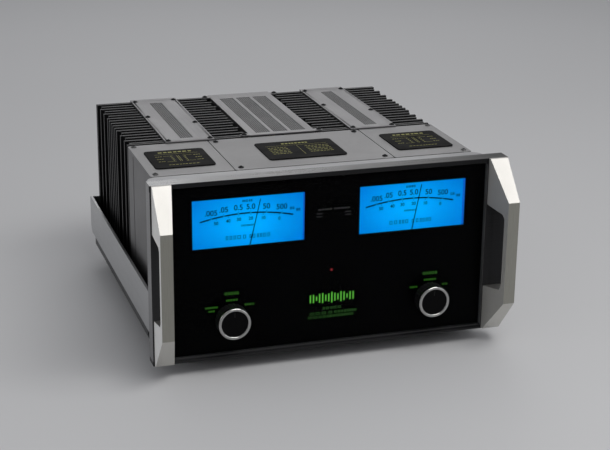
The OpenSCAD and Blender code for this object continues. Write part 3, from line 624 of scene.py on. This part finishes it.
class Sheet:
    """Flat print on a plane: u to the right, v up, drawn as thin solid shapes."""

    THICK = 0.05 * MM

    def __init__(self, origin, right, up):
        self.origin, self.right, self.up = Vector(origin), Vector(right), Vector(up)
        self.out = self.right.cross(self.up) * self.THICK
        self.bm = bmesh.new()

    def at(self, u, v, lift=0):
        return self.origin + self.right * u * MM + self.up * v * MM + self.out * lift

    def outline(self, points):
        """Closed convex outline in millimetres, given a little thickness."""
        low = [self.bm.verts.new(self.at(u, v)) for u, v in points]
        high = [self.bm.verts.new(self.at(u, v, 1)) for u, v in points]
        self.bm.faces.new(high)
        self.bm.faces.new(low[::-1])
        for k in range(len(points)):
            j = (k + 1) % len(points)
            self.bm.faces.new((low[k], low[j], high[j], high[k]))

    def bar(self, u, v, w, h):
        self.outline([(u - w / 2, v - h / 2), (u + w / 2, v - h / 2), (u + w / 2, v + h / 2),
                      (u - w / 2, v + h / 2)])

    def stroke(self, points, width):
        """A line through points, as short bars that overlap at the joints."""
        for (u0, v0), (u1, v1) in zip(points, points[1:]):
            length = math.hypot(u1 - u0, v1 - v0) or 1e-6
            nu, nv = -(v1 - v0) / length * width / 2, (u1 - u0) / length * width / 2
            self.outline([(u0 + nu, v0 + nv), (u0 - nu, v0 - nv), (u1 - nu, v1 - nv),
                          (u1 + nu, v1 + nv)])

    def arc(self, u, v, radius, a0, a1, width, steps=40):
        """Arc about (u, v), angles in degrees clockwise from up."""
        points = [(u + radius * math.sin(math.radians(a0 + (a1 - a0) * k / steps)),
                   v + radius * math.cos(math.radians(a0 + (a1 - a0) * k / steps)))
                  for k in range(steps + 1)]
        self.stroke(points, width)

    def blocks(self, u, v, width, height, count, line=0, gap=0.38):
        """A row of plain blocks where a caption would be, in outline if line is given."""
        weights = [rng.choice((0.8, 1.0, 1.2)) for _ in range(count)]
        unit = width / (sum(weights) * (1 + gap) - gap)
        at = u - width / 2
        for weight in weights:
            w, mid = weight * unit, at + weight * unit / 2
            if line:
                for sign in (-1, 1):
                    self.bar(mid + sign * (w - line) / 2, v, line, height)
                    self.bar(mid, v + sign * (height - line) / 2, w, line)
            else:
                self.bar(mid, v, w, height)
            at += weight * unit * (1 + gap)

    def digits(self, text, u, v, height, weight=0.0):
        """Numerals, centred on (u, v), with weight millimetres added round each stroke."""
        curve = bpy.data.curves.new("numeral", "FONT")
        curve.body = text
        curve.size = height * 1.38
        curve.offset = weight
        curve.align_x, curve.align_y = "CENTER", "CENTER"
        curve.extrude = 0
        temp = bpy.data.objects.new("numeral", curve)
        bpy.context.scene.collection.objects.link(temp)
        bpy.context.view_layer.update()
        flat = bpy.data.meshes.new_from_object(
            temp.evaluated_get(bpy.context.evaluated_depsgraph_get()))
        made = [self.bm.verts.new(self.at(u + p.co.x, v + p.co.y, 1)) for p in flat.vertices]
        for face in flat.polygons:
            self.bm.faces.new([made[i] for i in face.vertices])
        bpy.data.objects.remove(temp)
        bpy.data.meshes.remove(flat)
        bpy.data.curves.remove(curve)

    def done(self, name, material, slot, body=BODY):
        return finish_piece(name, self.bm, material, body)


# ---------------------------------------------------------------- meter dials

# millimetres and degrees, across from the dial's middle and up from the floor
SCALE_RADIUS = 238.5
SCALE_TOP = 192.0
SCALE_REACH = 13.8
SCALE_LINE = 1.7
BREAK = 0.16
NUMBERS = ((-43.4, 194.6, ".005"), (-28.1, 197.6, ".05"), (-10.3, 198.9, "0.5"),
           (4.7, 198.9, "5.0"), (23.9, 197.8, "50"), (42.7, 195.6, "500"))
DECIBELS = ((-37.4, "50"), (-22.8, "40"), (-9.9, "30"), (4.7, "20"), (20.0, "10"), (39.9, "0"))


def dial_print(side):
    """Numbered scale with a decibel scale under it, and plain boxes for captions."""
    lo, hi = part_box(f"meter_dial_{side}")
    centre = (lo.x + hi.x) / 2
    ink = Sheet((centre, lo.y - 0.02 * MM, 0), (1, 0, 0), (0, 0, 1))
    middle = SCALE_TOP - SCALE_RADIUS

    def tick(u, inner, outer, width):
        """Short radial line across the scale, from inner to outer millimetres off its arc."""
        angle = math.asin(u / SCALE_RADIUS)
        ink.stroke([((SCALE_RADIUS + r) * math.sin(angle),
                     middle + (SCALE_RADIUS + r) * math.cos(angle)) for r in (inner, outer)],
                   width)

    # the scale line is broken where the numbered divisions cross it
    breaks = [math.degrees(math.asin(u / SCALE_RADIUS)) for u, _, _ in NUMBERS]
    edges = [-SCALE_REACH] + [a + gap for a in breaks for gap in (-BREAK, BREAK)] + [SCALE_REACH]
    for start, end in zip(edges[::2], edges[1::2]):
        ink.arc(0, middle, SCALE_RADIUS, start, end, SCALE_LINE, 12)
    for (u, v, text), (after, _, _) in zip(NUMBERS, NUMBERS[1:] + ((57.0, 0, ""),)):
        ink.digits(text, u, v + 0.4, 6.7, 0.12)
        tick(u, 0.9, 2.6, 0.45)
        for k in (2, 4, 6, 8):
            tick(u + (after - u) * math.log10(k), 0.5, 1.7, 0.3)
    for u, text in DECIBELS:
        drop = SCALE_RADIUS * (1 - math.cos(math.asin(u / SCALE_RADIUS)))
        ink.digits(text, u, SCALE_TOP - drop - 7.0, 4.0, 0.12)
        tick(u, -3.0, -0.5, 0.4)
    for u in (-48, -30, -16, -3, 12, 28, 34, 47, 53):
        tick(u, -1.9, -0.5, 0.3)
    for u, v in ((55.5, 193.2), (63.3, 190.8)):
        ink.blocks(u, v, 5.0, 3.2, 2, 0.7)
    # plain boxes stand where the captions are
    ink.blocks(0.5, 207.2, 12, 2.6, 5, 0.6, 0.5)
    ink.blocks(0.5, 176.9, 15, 2.2, 8, 0.45, 0.6)
    ink.blocks(-13.5, 162.9, 24.5, 4.6, 5, 0.65, 0.75)
    ink.blocks(16.0, 162.9, 25.5, 4.6, 6, 0.65, 0.75)
    ink.done(f"dial_print_{side}", "dial_ink", "dial_blue")


for side in ("left", "right"):
    dial_print(side)


# ---------------------------------------------------------------- lit legends behind the glass

legend_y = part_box("sub_panel")[0].y - 0.25 * MM
knob_lo, knob_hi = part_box("power_knob")
knob_x, knob_z = (knob_lo.x + knob_hi.x) / 2 / MM, (knob_lo.z + knob_hi.z) / 2 / MM


def legend_sheet():
    """Sheet in the plane of the legends, millimetres from the middle of the floor line."""
    return Sheet((0, legend_y, 0), (1, 0, 0), (0, 0, 1))


# rows of blocks round each knob: sideways and up from its centre, width, height, number
METER_LEGENDS = ((2.0, 30.8, 17, 3.2, 5), (2.0, 22.2, 13.8, 2.4, 5), (-23.0, 15.0, 15.0, 2.2, 6),
                 (-22.8, 10.4, 7.6, 2.0, 3), (23.6, 14.8, 11.4, 2.2, 4))
POWER_LEGENDS = ((1.7, 30.4, 18, 3.2, 5), (2.0, 21.8, 15.5, 2.4, 6), (-19.6, 13.8, 9.0, 2.2, 3),
                 (22.0, 13.8, 6.6, 2.2, 2))
green = legend_sheet()
for sign, rows in ((-1, METER_LEGENDS), (1, POWER_LEGENDS)):
    for u, v, w, h, count in rows:
        green.blocks(sign * knob_x + u, knob_z + v, w, h, count, 0.5, 0.7)
green.done("knob_legends", "legend_dim", "panel_black")

# a level display of plain bars stands in the middle
LEVEL_BARS, BAR_PITCH, BAR_WIDTH = 15, 3.9, 1.7
level = legend_sheet()
for k in range(LEVEL_BARS):
    away = k - (LEVEL_BARS - 1) / 2
    tall = 5.0 + 9.0 * abs(math.cos(away * 0.95)) * math.cos(away / 7 * 0.9)
    level.bar(0.8 + away * BAR_PITCH, 78.6, BAR_WIDTH, tall)
level.done("level_bars", "legend_green", "panel_black")

# three faint rows under it: sideways, up, width, number of blocks
SMALL_LEGENDS = ((1.2, 65.0, 23, 5), (-12.5, 59.1, 28, 4), (18.5, 59.1, 28, 8),
                 (-14.8, 54.3, 29, 5), (14.0, 54.3, 29, 9))
small = legend_sheet()
for u, v, w, count in SMALL_LEGENDS:
    small.blocks(u, v, w, 2.8, count, 0.5, 0.7)
small.done("small_legends", "legend_faint", "panel_black")

# unlit rows between the meters: sideways, up, width, height, number of blocks
UNLIT_LEGENDS = ((-9.5, 191.4, 17, 1.8, 5), (11.5, 191.4, 19, 1.8, 5), (-16.5, 186.4, 7, 1.4, 4),
                 (-16.5, 182.7, 7, 1.4, 4), (19.5, 186.4, 7, 1.4, 4), (19.5, 182.7, 7, 1.4, 4))
unlit = legend_sheet()
for row in UNLIT_LEGENDS:
    unlit.blocks(*row)
unlit.done("unlit_legends", "legend_off", "panel_black")


# ---------------------------------------------------------------- nameplates

def plate_art(node, wide):
    """Gold line art of plain shapes on a black plate."""
    lo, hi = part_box(node)
    centre = (lo + hi) / 2
    w, d = (hi.x - lo.x) / MM, (hi.y - lo.y) / MM
    art = Sheet((centre.x, centre.y, hi.z + 0.02 * MM), (1, 0, 0), (0, 1, 0))
    v = d / 2 - 5
    if wide:
        art.blocks(0, v - 6, w * 0.34, 4.2, 8)
        for k in range(5):
            art.blocks(-w * 0.27, v - 22 - k * 6.5, w * 0.24, 1.6, 6 - k % 2)
            art.blocks(w * 0.24, v - 22 - k * 6.5, w * 0.30, 1.6, 7 - k % 2)
        art.stroke([(0, v - 16), (0, -v + 8)], 0.5)
        art.stroke([(-w * 0.4, v - 14), (w * 0.4, v - 14)], 0.5)
    else:
        art.blocks(0, v - 5, w * 0.56, 4.0, 7)
        art.stroke([(-w * 0.36, v - 13), (w * 0.36, v - 13)], 0.5)
        # a transformer symbol: two coils and a core, wired to terminals
        for sign in (-1, 1):
            for k in range(4):
                art.arc(sign * 6, 8 - k * 6, 3, 0 if sign > 0 else 180,
                        180 if sign > 0 else 360, 0.6, 10)
            art.stroke([(sign * 6, 11), (sign * 18, 11)], 0.6)
            art.stroke([(sign * 6, -13), (sign * 18, -13)], 0.6)
            art.stroke([(sign * 1.1, 11), (sign * 1.1, -13)], 0.6)
            for k in range(3):
                art.blocks(sign * 24, 10 - k * 10.5, 8, 1.5, 3)
        art.blocks(0, -v + 6, w * 0.5, 1.6, 9)
    art.done(f"{node}_art", "gold_ink", "nameplate_black")


plate_art("nameplate_left", False)
plate_art("nameplate_center", True)
plate_art("nameplate_right", False)


# ---------------------------------------------------------------- perforated vents

LIP = 2 * MM               # plain edge of a sheet, under the strips
VENT_PITCH = 2.6 * MM
HOLE_SHARE = 0.31          # radius of a hole, as a share of the pitch
HOLE_TURNS = 8
VENT_GAP = 0.2 * MM        # between a raised sheet and the edge of its slot
STRIP_SLOT, PLATE_SLOT, PLATE_PITCH = 16.8 * MM, 19.5 * MM, 24 * MM


def perforated(bm, x0, x1, y0, y1, z, drop):
    """Raised sheet with a grid of holes, its edges folded down to a plain lip, in metres."""
    columns = max(1, round((x1 - x0) / VENT_PITCH))
    lines = max(1, round((y1 - y0) / VENT_PITCH))
    step_x, step_y = (x1 - x0) / columns, (y1 - y0) / lines
    r = min(step_x, step_y) * HOLE_SHARE
    for i in range(columns):
        for j in range(lines):
            cx, cy = x0 + (i + 0.5) * step_x, y0 + (j + 0.5) * step_y
            inner, outer = [], []
            for k in range(HOLE_TURNS):
                angle = 2 * math.pi * k / HOLE_TURNS
                c, s = math.cos(angle), math.sin(angle)
                reach = max(abs(c), abs(s))
                inner.append(bm.verts.new((cx + r * c, cy + r * s, z)))
                outer.append(bm.verts.new((cx + step_x / 2 * c / reach,
                                           cy + step_y / 2 * s / reach, z)))
            for k in range(HOLE_TURNS):
                n = (k + 1) % HOLE_TURNS
                bm.faces.new((outer[k], outer[n], inner[n], inner[k]))
    corners = [(x0, y0), (x1, y0), (x1, y1), (x0, y1)]
    away = [(x0 - LIP, y0 - LIP), (x1 + LIP, y0 - LIP), (x1 + LIP, y1 + LIP), (x0 - LIP, y1 + LIP)]
    top = [bm.verts.new((*p, z)) for p in corners]
    low = [bm.verts.new((*p, z - drop)) for p in corners]
    rim = [bm.verts.new((*p, z - drop)) for p in away]
    for k in range(4):
        n = (k + 1) % 4
        bm.faces.new((low[k], low[n], top[n], top[k]))
        bm.faces.new((rim[k], rim[n], low[n], low[k]))


grille_lo, grille_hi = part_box("vent_grilles")
mesh_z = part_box("vent_plate")[1].z - 0.35 * MM
mesh_drop = mesh_z - grille_hi.z
slot_y0, slot_y1 = grille_lo.y + LIP + 1 * MM, grille_hi.y - LIP
vents = bmesh.new()
for x0 in (grille_lo.x + LIP, grille_hi.x - LIP - STRIP_SLOT):
    perforated(vents, x0 + VENT_GAP, x0 + STRIP_SLOT - VENT_GAP, slot_y0 + VENT_GAP,
               slot_y1 - VENT_GAP, mesh_z, mesh_drop)
for centre in (-PLATE_PITCH, 0, PLATE_PITCH):
    half_slot = PLATE_SLOT / 2 - VENT_GAP
    perforated(vents, centre - half_slot, centre + half_slot, slot_y0 - 0.8 * MM,
               slot_y1 - 1.2 * MM, mesh_z, mesh_drop)
bmesh.ops.remove_doubles(vents, verts=vents.verts, dist=1e-6)
grille = finish_piece("vent_mesh", vents, "grille_steel")
thick = grille.modifiers.new("sheet", "SOLIDIFY")
thick.thickness = 0.7 * MM
thick.offset = -1
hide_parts("vent_grilles")


# ---------------------------------------------------------------- rear sockets

def torus(bm, centre, major, minor, turns=32, around=10):
    """Ring about the Y axis, in metres."""
    rings = []
    for i in range(turns):
        a = 2 * math.pi * i / turns
        ring = []
        for j in range(around):
            b = 2 * math.pi * j / around
            reach, along = major + minor * math.cos(b), minor * math.sin(b)
            ring.append(bm.verts.new((centre[0] + reach * math.cos(a), centre[1] + along,
                                      centre[2] + reach * math.sin(a))))
        rings.append(ring)
    for i in range(turns):
        for j in range(around):
            bm.faces.new((rings[i][j], rings[(i + 1) % turns][j],
                          rings[(i + 1) % turns][(j + 1) % around], rings[i][(j + 1) % around]))


rca_lo, rca_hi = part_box("rca_inputs")
rca_z = (rca_lo.z + rca_hi.z) / 2
rca_inset = 6.5 * MM
ring_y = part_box("rear_panel")[1].y + 3.2 * MM
for side, x, finish in (("left", rca_lo.x + rca_inset, "socket_white"),
                        ("right", rca_hi.x - rca_inset, "socket_red")):
    ring = bmesh.new()
    torus(ring, (x, ring_y, rca_z), 5.4 * MM, 0.9 * MM)
    finish_piece(f"rca_ring_{side}", ring, finish, smooth=True)


# ---------------------------------------------------------------- floor, light and camera

def area(name, where, target, width, height, power, colour):
    """Rectangular lamp at a place, turned towards a target, in metres and watts."""
    lamp = bpy.data.lights.new(name, "AREA")
    lamp.energy = power
    lamp.color = colour
    lamp.shape = "RECTANGLE"
    lamp.size, lamp.size_y = width, height
    obj = bpy.data.objects.new(name, lamp)
    bpy.context.scene.collection.objects.link(obj)
    obj.location = where
    obj.rotation_mode = "QUATERNION"
    obj.rotation_quaternion = (Vector(target) - Vector(where)).to_track_quat("-Z", "Y")


floor_tree = Tree("floor_pale")
floor_tone = floor_tree.shade(floor_tree.noise((1.3, 1.3, 1.3), 3.0, 0.5), (0.62, 0.62, 0.63), 0.02)
floor_tree.surface(floor_tone, 0.0, 0.55, Specular_IOR_Level=0.25)
floor_mesh = bpy.data.meshes.new("floor")
bm = bmesh.new()
bmesh.ops.create_grid(bm, x_segments=1, y_segments=1, size=30)
bm.to_mesh(floor_mesh)
bm.free()
floor = bpy.data.objects.new("floor", floor_mesh)
floor_mesh.materials.append(floor_tree.mat)
bpy.context.scene.collection.objects.link(floor)

area("key", (0.55, -1.05, 1.9), (0, -0.1, 0.15), 1.7, 0.75, 18, (1.0, 0.99, 0.97))
area("fill", (1.9, -1.3, 1.0), (0, 0, 0.12), 1.2, 1.2, 6, (0.95, 0.97, 1.0))
area("side", (-2.2, 0.1, 0.8), (0, 0, 0.12), 1.6, 0.8, 4.5, (0.97, 0.98, 1.0))
area("rim", (0.6, 2.1, 1.3), (0, 0, 0.2), 1.4, 0.5, 4, (1, 1, 1))

# a soft grey surround, a little paler overhead
scene = bpy.context.scene
world = bpy.data.worlds.new("studio")
scene.world = world
world.use_nodes = True
sky = world.node_tree
background = sky.nodes["Background"]
coordinate = sky.nodes.new("ShaderNodeTexCoord")
split = sky.nodes.new("ShaderNodeSeparateXYZ")
ramp = sky.nodes.new("ShaderNodeValToRGB")
sky.links.new(coordinate.outputs["Generated"], split.inputs[0])
sky.links.new(split.outputs["Z"], ramp.inputs[0])
ramp.color_ramp.elements[0].color = (0.52, 0.52, 0.53, 1)
ramp.color_ramp.elements[1].color = (0.62, 0.63, 0.65, 1)
sky.links.new(ramp.outputs[0], background.inputs["Color"])
background.inputs["Strength"].default_value = 0.60

scene.view_settings.view_transform = "Standard"
scene.view_settings.look = "None"
scene.view_settings.exposure = 0.0

# the camera fitted to the view: where it stands in metres, its focal length in millimetres,
# and how far it is turned right, tilted down and rolled
CAMERA_AT = (-0.5536, -1.8035, 0.7464)
FOCAL_LENGTH = 88.4
turn, tilt, roll = math.radians(18.01), math.radians(18.82), math.radians(0.67)

lens = bpy.data.cameras.new("camera")
lens.sensor_width = 36
lens.lens = FOCAL_LENGTH
lens.clip_start, lens.clip_end = 0.05, 100
camera = bpy.data.objects.new("camera", lens)
scene.collection.objects.link(camera)
ahead = Vector((math.sin(turn) * math.cos(tilt), math.cos(turn) * math.cos(tilt),
                -math.sin(tilt)))
right = ahead.cross(Vector((0, 0, 1))).normalized()
up = right.cross(ahead)
right, up = (right * math.cos(roll) + up * math.sin(roll),
             up * math.cos(roll) - right * math.sin(roll))
turned = Matrix((right, up, -ahead)).transposed()
camera.matrix_world = Matrix.Translation(CAMERA_AT) @ turned.to_4x4()
scene.camera = camera
